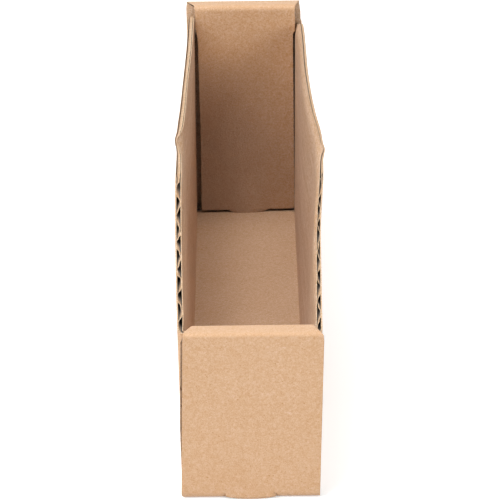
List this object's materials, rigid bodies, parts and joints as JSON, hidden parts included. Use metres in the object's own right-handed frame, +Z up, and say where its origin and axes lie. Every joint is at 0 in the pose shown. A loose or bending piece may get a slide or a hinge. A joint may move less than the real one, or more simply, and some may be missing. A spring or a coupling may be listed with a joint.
{
  "type": "parts bin",
  "caption": "Long narrow open-top cardboard bin with a low front, sloping sides and roll-over end walls, folded from one corrugated sheet to hold small parts on a shelf.",
  "frame": {"origin": "middle of the underside of the floor", "axes": "+X to the right seen from the low front, +Y from the front to the back, +Z up"},
  "size_m": [0.0668, 0.3248, 0.1173],
  "materials": {
    "board": "matte brown kraft paper liner on corrugated board"
  },
  "bodies": {
    "root": {"bin": "board"}
  },
  "joints": []
}
